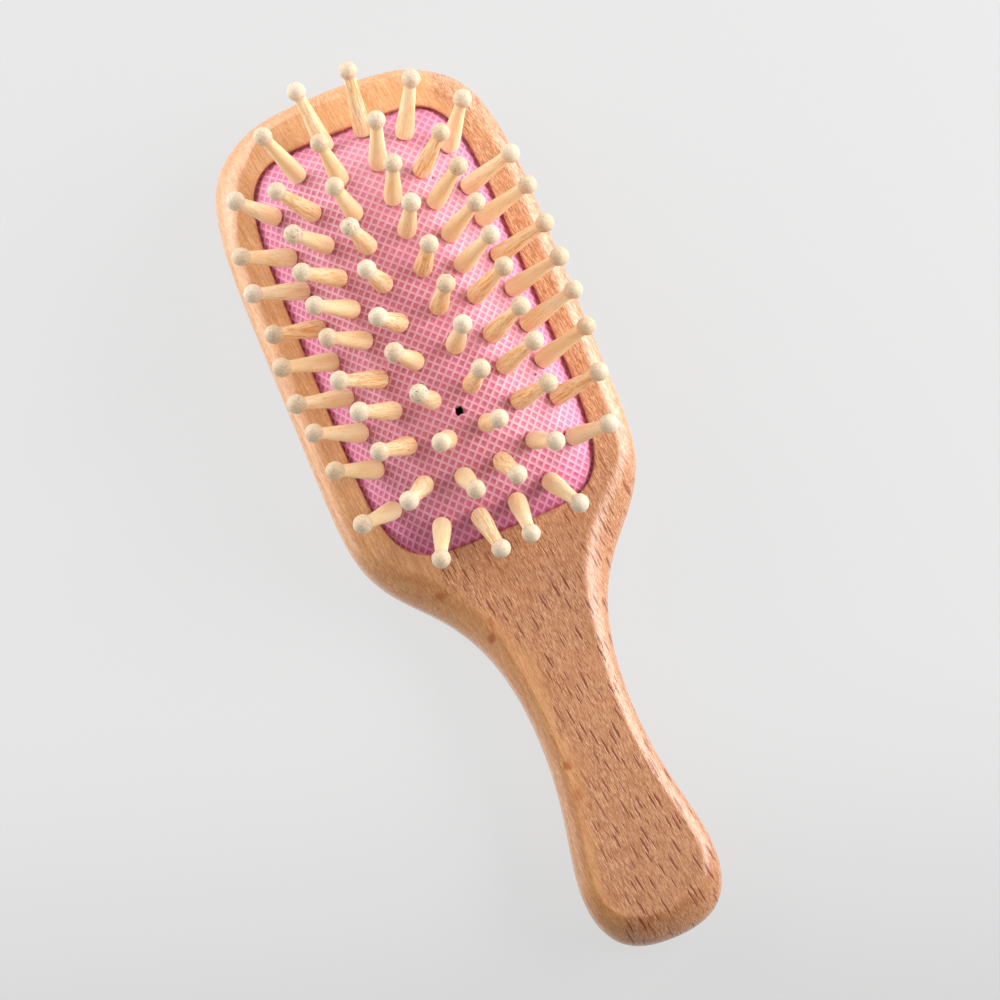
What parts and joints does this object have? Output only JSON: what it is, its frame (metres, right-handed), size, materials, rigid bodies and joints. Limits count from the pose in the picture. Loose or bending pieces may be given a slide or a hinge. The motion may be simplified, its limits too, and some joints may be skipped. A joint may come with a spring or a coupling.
{
  "type": "paddle brush",
  "caption": "Small wooden paddle hairbrush: beech board and handle in one piece, a domed pink rubber air cushion and turned wooden ball-tipped pins.",
  "frame": {"origin": "on the flat back of the board, under the middle of the whole brush's length and width", "axes": "+Z from the back to the pins, +Y along the handle towards the head end, +X to the right seen from the pin side"},
  "size_m": [0.0604, 0.1763, 0.0405],
  "materials": {
    "beech": "satin",
    "pink_rubber": "matte",
    "pale_wood": "matte"
  },
  "bodies": {
    "board": {"handle": "beech"},
    "cushion": {"cushion": "pink_rubber"},
    "pin_a01": {"pin_a01": "pale_wood"},
    "pin_a02": {"pin_a02": "pale_wood"},
    "pin_a03": {"pin_a03": "pale_wood"},
    "pin_a04": {"pin_a04": "pale_wood"},
    "pin_a05": {"pin_a05": "pale_wood"},
    "pin_a06": {"pin_a06": "pale_wood"},
    "pin_a07": {"pin_a07": "pale_wood"},
    "pin_a08": {"pin_a08": "pale_wood"},
    "pin_a09": {"pin_a09": "pale_wood"},
    "pin_b01": {"pin_b01": "pale_wood"},
    "pin_b02": {"pin_b02": "pale_wood"},
    "pin_b03": {"pin_b03": "pale_wood"},
    "pin_b04": {"pin_b04": "pale_wood"},
    "pins_b05_b06": {"pins_b05_b06": "pale_wood"},
    "pin_b07": {"pin_b07": "pale_wood"},
    "pin_b08": {"pin_b08": "pale_wood"},
    "pin_b09": {"pin_b09": "pale_wood"},
    "pin_b10": {"pin_b10": "pale_wood"},
    "pin_b11": {"pin_b11": "pale_wood"},
    "pin_c01": {"pin_c01": "pale_wood"},
    "pin_c02": {"pin_c02": "pale_wood"},
    "pin_c03": {"pin_c03": "pale_wood"},
    "pin_c04": {"pin_c04": "pale_wood"},
    "pins_c05_c06": {"pins_c05_c06": "pale_wood"},
    "pin_c07": {"pin_c07": "pale_wood"},
    "pin_c08": {"pin_c08": "pale_wood"},
    "pin_c09": {"pin_c09": "pale_wood"},
    "pin_c10": {"pin_c10": "pale_wood"},
    "pin_c11": {"pin_c11": "pale_wood"},
    "pin_d01": {"pin_d01": "pale_wood"},
    "pin_d02": {"pin_d02": "pale_wood"},
    "pin_d03": {"pin_d03": "pale_wood"},
    "pin_d04": {"pin_d04": "pale_wood"},
    "pins_d05_d06": {"pins_d05_d06": "pale_wood"},
    "pin_d07": {"pin_d07": "pale_wood"},
    "pin_d08": {"pin_d08": "pale_wood"},
    "pin_d09": {"pin_d09": "pale_wood"},
    "pin_d10": {"pin_d10": "pale_wood"},
    "pin_d11": {"pin_d11": "pale_wood"},
    "pin_e01": {"pin_e01": "pale_wood"},
    "pin_e02": {"pin_e02": "pale_wood"},
    "pin_e03": {"pin_e03": "pale_wood"},
    "pin_e04": {"pin_e04": "pale_wood"},
    "pins_e05_e06": {"pins_e05_e06": "pale_wood"},
    "pin_e07": {"pin_e07": "pale_wood"},
    "pin_e08": {"pin_e08": "pale_wood"},
    "pin_e09": {"pin_e09": "pale_wood"},
    "pin_e10": {"pin_e10": "pale_wood"},
    "pin_e11": {"pin_e11": "pale_wood"},
    "pin_f01": {"pin_f01": "pale_wood"},
    "pin_f02": {"pin_f02": "pale_wood"},
    "pin_f03": {"pin_f03": "pale_wood"},
    "pin_f04": {"pin_f04": "pale_wood"},
    "pin_f05": {"pin_f05": "pale_wood"},
    "pin_f06": {"pin_f06": "pale_wood"},
    "pin_f07": {"pin_f07": "pale_wood"},
    "pin_f08": {"pin_f08": "pale_wood"},
    "pin_f09": {"pin_f09": "pale_wood"}
  },
  "joints": [
    {"name": "cushion_press", "type": "slide", "parent": "board", "child": "cushion", "axis": [0, 0, -1], "range_m": [0, 0.002], "stiffness_N_per_m": 2500, "deforming": ["cushion"]},
    {"name": "tilt_a01", "type": "hinge", "parent": "cushion", "child": "pin_a01", "pos_m": [-0.01753, 0.06589, 0.01551], "axis": [0.0514, 0.9923, -0.1124], "range_deg": [-12, 12], "stiffness_Nm_per_rad": 0.01},
    {"name": "tilt_a02", "type": "hinge", "parent": "cushion", "child": "pin_a02", "pos_m": [-0.01733, 0.05696, 0.01658], "axis": [0.0263, 0.9991, -0.0324], "range_deg": [-12, 12], "stiffness_Nm_per_rad": 0.01},
    {"name": "tilt_a03", "type": "hinge", "parent": "cushion", "child": "pin_a03", "pos_m": [-0.0173, 0.04999, 0.01682], "axis": [0.0073, 0.9999, -0.0081], "range_deg": [-12, 12], "stiffness_Nm_per_rad": 0.01},
    {"name": "tilt_a04", "type": "hinge", "parent": "cushion", "child": "pin_a04", "pos_m": [-0.01735, 0.04205, 0.01683], "axis": [-0.0339, 0.9985, 0.0436], "range_deg": [-12, 12], "stiffness_Nm_per_rad": 0.01},
    {"name": "tilt_a05", "type": "hinge", "parent": "cushion", "child": "pin_a05", "pos_m": [-0.01729, 0.035, 0.01688], "axis": [0, 1, 0], "range_deg": [-12, 12], "stiffness_Nm_per_rad": 0.01},
    {"name": "tilt_a06", "type": "hinge", "parent": "cushion", "child": "pin_a06", "pos_m": [-0.01729, 0.0275, 0.01687], "axis": [-0.0015, 1, 0.0016], "range_deg": [-12, 12], "stiffness_Nm_per_rad": 0.01},
    {"name": "tilt_a07", "type": "hinge", "parent": "cushion", "child": "pin_a07", "pos_m": [-0.01736, 0.01993, 0.01674], "axis": [0.045, 0.9972, -0.059], "range_deg": [-12, 12], "stiffness_Nm_per_rad": 0.01},
    {"name": "tilt_a08", "type": "hinge", "parent": "cushion", "child": "pin_a08", "pos_m": [-0.01742, 0.01247, 0.01635], "axis": [0.0146, 0.9996, -0.0231], "range_deg": [-12, 12], "stiffness_Nm_per_rad": 0.01},
    {"name": "tilt_a09", "type": "hinge", "parent": "cushion", "child": "pin_a09", "pos_m": [-0.01749, 0.00467, 0.01524], "axis": [-0.0873, 0.9824, 0.1648], "range_deg": [-12, 12], "stiffness_Nm_per_rad": 0.01},
    {"name": "tilt_b01", "type": "hinge", "parent": "cushion", "child": "pin_b01", "pos_m": [-0.01057, 0.07061, 0.01735], "axis": [0.1254, 0.8989, -0.4197], "range_deg": [-12, 12], "stiffness_Nm_per_rad": 0.01},
    {"name": "tilt_b02", "type": "hinge", "parent": "cushion", "child": "pin_b02", "pos_m": [-0.01047, 0.06183, 0.02056], "axis": [0.0711, 0.9813, -0.1786], "range_deg": [-12, 12], "stiffness_Nm_per_rad": 0.01},
    {"name": "tilt_b03", "type": "hinge", "parent": "cushion", "child": "pin_b03", "pos_m": [-0.01046, 0.05497, 0.0215], "axis": [0.0134, 0.9994, -0.033], "range_deg": [-12, 12], "stiffness_Nm_per_rad": 0.01},
    {"name": "tilt_b04", "type": "hinge", "parent": "cushion", "child": "pin_b04", "pos_m": [-0.01039, 0.04799, 0.02183], "axis": [0.0073, 0.9999, -0.014], "range_deg": [-12, 12], "stiffness_Nm_per_rad": 0.01},
    {"name": "tilt_b05_b06", "type": "hinge", "parent": "cushion", "child": "pins_b05_b06", "pos_m": [-0.01038, 0.03825, 0.02188], "axis": [-0.0001, 1, -0.0003], "range_deg": [-12, 12], "stiffness_Nm_per_rad": 0.02},
    {"name": "tilt_b07", "type": "hinge", "parent": "cushion", "child": "pin_b07", "pos_m": [-0.01031, 0.02701, 0.02191], "axis": [-0.0032, 1, 0.005], "range_deg": [-12, 12], "stiffness_Nm_per_rad": 0.01},
    {"name": "tilt_b08", "type": "hinge", "parent": "cushion", "child": "pin_b08", "pos_m": [-0.01039, 0.02053, 0.02173], "axis": [-0.0162, 0.9994, 0.032], "range_deg": [-12, 12], "stiffness_Nm_per_rad": 0.01},
    {"name": "tilt_b09", "type": "hinge", "parent": "cushion", "child": "pin_b09", "pos_m": [-0.01043, 0.01361, 0.02115], "axis": [-0.0492, 0.9927, 0.1097], "range_deg": [-12, 12], "stiffness_Nm_per_rad": 0.01},
    {"name": "tilt_b10", "type": "hinge", "parent": "cushion", "child": "pin_b10", "pos_m": [-0.01054, 0.00627, 0.01948], "axis": [-0.0924, 0.9531, 0.2882], "range_deg": [-12, 12], "stiffness_Nm_per_rad": 0.01},
    {"name": "tilt_b11", "type": "hinge", "parent": "cushion", "child": "pin_b11", "pos_m": [-0.01063, -0.00099, 0.01586], "axis": [-0.1327, 0.8221, 0.5536], "range_deg": [-12, 12], "stiffness_Nm_per_rad": 0.01},
    {"name": "tilt_c01", "type": "hinge", "parent": "cushion", "child": "pin_c01", "pos_m": [-0.0037, 0.0744, 0.01558], "axis": [0.0975, 0.7451, -0.6598], "range_deg": [-12, 12], "stiffness_Nm_per_rad": 0.01},
    {"name": "tilt_c02", "type": "hinge", "parent": "cushion", "child": "pin_c02", "pos_m": [-0.00371, 0.06576, 0.02129], "axis": [0.0271, 0.9635, -0.2663], "range_deg": [-12, 12], "stiffness_Nm_per_rad": 0.01},
    {"name": "tilt_c03", "type": "hinge", "parent": "cushion", "child": "pin_c03", "pos_m": [-0.00367, 0.05787, 0.02342], "axis": [0.0213, 0.9888, -0.1478], "range_deg": [-12, 12], "stiffness_Nm_per_rad": 0.01},
    {"name": "tilt_c04", "type": "hinge", "parent": "cushion", "child": "pin_c04", "pos_m": [-0.00366, 0.05096, 0.02405], "axis": [0.007, 0.999, -0.0436], "range_deg": [-12, 12], "stiffness_Nm_per_rad": 0.01},
    {"name": "tilt_c05_c06", "type": "hinge", "parent": "cushion", "child": "pins_c05_c06", "pos_m": [-0.00361, 0.03903, 0.02422], "axis": [-0.0112, 0.9999, -0.0035], "range_deg": [-12, 12], "stiffness_Nm_per_rad": 0.02},
    {"name": "tilt_c07", "type": "hinge", "parent": "cushion", "child": "pin_c07", "pos_m": [-0.00358, 0.02701, 0.02421], "axis": [-0.0021, 1, 0.0082], "range_deg": [-12, 12], "stiffness_Nm_per_rad": 0.01},
    {"name": "tilt_c08", "type": "hinge", "parent": "cushion", "child": "pin_c08", "pos_m": [-0.00366, 0.01906, 0.02394], "axis": [-0.0103, 0.9978, 0.0651], "range_deg": [-12, 12], "stiffness_Nm_per_rad": 0.01},
    {"name": "tilt_c09", "type": "hinge", "parent": "cushion", "child": "pin_c09", "pos_m": [-0.00368, 0.01169, 0.02297], "axis": [-0.0276, 0.978, 0.2069], "range_deg": [-12, 12], "stiffness_Nm_per_rad": 0.01},
    {"name": "tilt_c10", "type": "hinge", "parent": "cushion", "child": "pin_c10", "pos_m": [-0.00385, 0.00486, 0.02067], "axis": [0.0259, 0.9148, 0.403], "range_deg": [-12, 12], "stiffness_Nm_per_rad": 0.01},
    {"name": "tilt_c11", "type": "hinge", "parent": "cushion", "child": "pin_c11", "pos_m": [-0.00387, -0.0019, 0.01604], "axis": [0.0725, 0.7486, 0.659], "range_deg": [-12, 6], "stiffness_Nm_per_rad": 0.01},
    {"name": "tilt_d01", "type": "hinge", "parent": "cushion", "child": "pin_d01", "pos_m": [0.0037, 0.07439, 0.01559], "axis": [-0.0989, 0.7363, -0.6694], "range_deg": [-12, 12], "stiffness_Nm_per_rad": 0.01},
    {"name": "tilt_d02", "type": "hinge", "parent": "cushion", "child": "pin_d02", "pos_m": [0.00365, 0.06575, 0.02131], "axis": [-0.0492, 0.9595, -0.2773], "range_deg": [-12, 12], "stiffness_Nm_per_rad": 0.01},
    {"name": "tilt_d03", "type": "hinge", "parent": "cushion", "child": "pin_d03", "pos_m": [0.00367, 0.05787, 0.02342], "axis": [-0.0213, 0.9888, -0.1478], "range_deg": [-12, 12], "stiffness_Nm_per_rad": 0.01},
    {"name": "tilt_d04", "type": "hinge", "parent": "cushion", "child": "pin_d04", "pos_m": [0.00366, 0.05096, 0.02405], "axis": [-0.007, 0.999, -0.0436], "range_deg": [-12, 12], "stiffness_Nm_per_rad": 0.01},
    {"name": "tilt_d05_d06", "type": "hinge", "parent": "cushion", "child": "pins_d05_d06", "pos_m": [0.00365, 0.039, 0.02421], "axis": [0.0001, 1, -0.0008], "range_deg": [-12, 12], "stiffness_Nm_per_rad": 0.02},
    {"name": "tilt_d07", "type": "hinge", "parent": "cushion", "child": "pin_d07", "pos_m": [0.00365, 0.02701, 0.02419], "axis": [0.0014, 1, 0.0085], "range_deg": [-12, 12], "stiffness_Nm_per_rad": 0.01},
    {"name": "tilt_d08", "type": "hinge", "parent": "cushion", "child": "pin_d08", "pos_m": [0.00366, 0.01906, 0.02394], "axis": [0.0103, 0.9978, 0.0651], "range_deg": [-12, 12], "stiffness_Nm_per_rad": 0.01},
    {"name": "tilt_d09", "type": "hinge", "parent": "cushion", "child": "pin_d09", "pos_m": [0.00368, 0.01169, 0.02297], "axis": [0.0276, 0.978, 0.2069], "range_deg": [-12, 12], "stiffness_Nm_per_rad": 0.01},
    {"name": "tilt_d10", "type": "hinge", "parent": "cushion", "child": "pin_d10", "pos_m": [0.00373, 0.00489, 0.02068], "axis": [0.039, 0.9018, 0.4304], "range_deg": [-12, 12], "stiffness_Nm_per_rad": 0.01},
    {"name": "tilt_d11", "type": "hinge", "parent": "cushion", "child": "pin_d11", "pos_m": [0.00383, -0.00193, 0.01602], "axis": [-0.0249, 0.7735, 0.6333], "range_deg": [-6, 12], "stiffness_Nm_per_rad": 0.01},
    {"name": "tilt_e01", "type": "hinge", "parent": "cushion", "child": "pin_e01", "pos_m": [0.0105, 0.07062, 0.01737], "axis": [-0.1583, 0.9042, -0.3967], "range_deg": [-12, 12], "stiffness_Nm_per_rad": 0.01},
    {"name": "tilt_e02", "type": "hinge", "parent": "cushion", "child": "pin_e02", "pos_m": [0.01044, 0.06191, 0.02056], "axis": [-0.042, 0.9945, -0.0963], "range_deg": [-12, 12], "stiffness_Nm_per_rad": 0.01},
    {"name": "tilt_e03", "type": "hinge", "parent": "cushion", "child": "pin_e03", "pos_m": [0.01041, 0.05494, 0.02152], "axis": [-0.0302, 0.9976, -0.0625], "range_deg": [-12, 12], "stiffness_Nm_per_rad": 0.01},
    {"name": "tilt_e04", "type": "hinge", "parent": "cushion", "child": "pin_e04", "pos_m": [0.01039, 0.04799, 0.02183], "axis": [-0.0073, 0.9999, -0.014], "range_deg": [-12, 12], "stiffness_Nm_per_rad": 0.01},
    {"name": "tilt_e05_e06", "type": "hinge", "parent": "cushion", "child": "pins_e05_e06", "pos_m": [0.01038, 0.03825, 0.02188], "axis": [0.0001, 1, -0.0003], "range_deg": [-12, 12], "stiffness_Nm_per_rad": 0.02},
    {"name": "tilt_e07", "type": "hinge", "parent": "cushion", "child": "pin_e07", "pos_m": [0.01038, 0.02701, 0.02187], "axis": [0.0029, 1, 0.0055], "range_deg": [-12, 12], "stiffness_Nm_per_rad": 0.01},
    {"name": "tilt_e08", "type": "hinge", "parent": "cushion", "child": "pin_e08", "pos_m": [0.01039, 0.02053, 0.02173], "axis": [0.0162, 0.9994, 0.032], "range_deg": [-12, 12], "stiffness_Nm_per_rad": 0.01},
    {"name": "tilt_e09", "type": "hinge", "parent": "cushion", "child": "pin_e09", "pos_m": [0.01043, 0.01361, 0.02115], "axis": [0.0492, 0.9927, 0.1097], "range_deg": [-12, 12], "stiffness_Nm_per_rad": 0.01},
    {"name": "tilt_e10", "type": "hinge", "parent": "cushion", "child": "pin_e10", "pos_m": [0.01061, 0.00628, 0.01946], "axis": [0.0678, 0.9509, 0.3018], "range_deg": [-12, 12], "stiffness_Nm_per_rad": 0.01},
    {"name": "tilt_e11", "type": "hinge", "parent": "cushion", "child": "pin_e11", "pos_m": [0.01061, -0.00098, 0.01587], "axis": [0.1461, 0.8155, 0.56], "range_deg": [-12, 12], "stiffness_Nm_per_rad": 0.01},
    {"name": "tilt_f01", "type": "hinge", "parent": "cushion", "child": "pin_f01", "pos_m": [0.01757, 0.06574, 0.01552], "axis": [-0.1092, 0.959, -0.2617], "range_deg": [-12, 12], "stiffness_Nm_per_rad": 0.01},
    {"name": "tilt_f02", "type": "hinge", "parent": "cushion", "child": "pin_f02", "pos_m": [0.01729, 0.05701, 0.01661], "axis": [0.0068, 0.9999, 0.0074], "range_deg": [-12, 12], "stiffness_Nm_per_rad": 0.01},
    {"name": "tilt_f03", "type": "hinge", "parent": "cushion", "child": "pin_f03", "pos_m": [0.01724, 0.04999, 0.01688], "axis": [-0.0073, 1, -0.0067], "range_deg": [-12, 12], "stiffness_Nm_per_rad": 0.01},
    {"name": "tilt_f04", "type": "hinge", "parent": "cushion", "child": "pin_f04", "pos_m": [0.01723, 0.042, 0.01694], "axis": [-0.0005, 1, -0.0004], "range_deg": [-12, 12], "stiffness_Nm_per_rad": 0.01},
    {"name": "tilt_f05", "type": "hinge", "parent": "cushion", "child": "pin_f05", "pos_m": [0.01723, 0.035, 0.01694], "axis": [0, 1, 0], "range_deg": [-12, 12], "stiffness_Nm_per_rad": 0.01},
    {"name": "tilt_f06", "type": "hinge", "parent": "cushion", "child": "pin_f06", "pos_m": [0.01723, 0.02746, 0.01693], "axis": [-0.0338, 0.999, -0.0306], "range_deg": [-12, 12], "stiffness_Nm_per_rad": 0.01},
    {"name": "tilt_f07", "type": "hinge", "parent": "cushion", "child": "pin_f07", "pos_m": [0.01727, 0.01996, 0.01682], "axis": [-0.0352, 0.9988, -0.0354], "range_deg": [-12, 12], "stiffness_Nm_per_rad": 0.01},
    {"name": "tilt_f08", "type": "hinge", "parent": "cushion", "child": "pin_f08", "pos_m": [0.01735, 0.01256, 0.0164], "axis": [0.0373, 0.9981, 0.0489], "range_deg": [-12, 12], "stiffness_Nm_per_rad": 0.01},
    {"name": "tilt_f09", "type": "hinge", "parent": "cushion", "child": "pin_f09", "pos_m": [0.01749, 0.00467, 0.01524], "axis": [0.0873, 0.9824, 0.1648], "range_deg": [-12, 12], "stiffness_Nm_per_rad": 0.01}
  ]
}
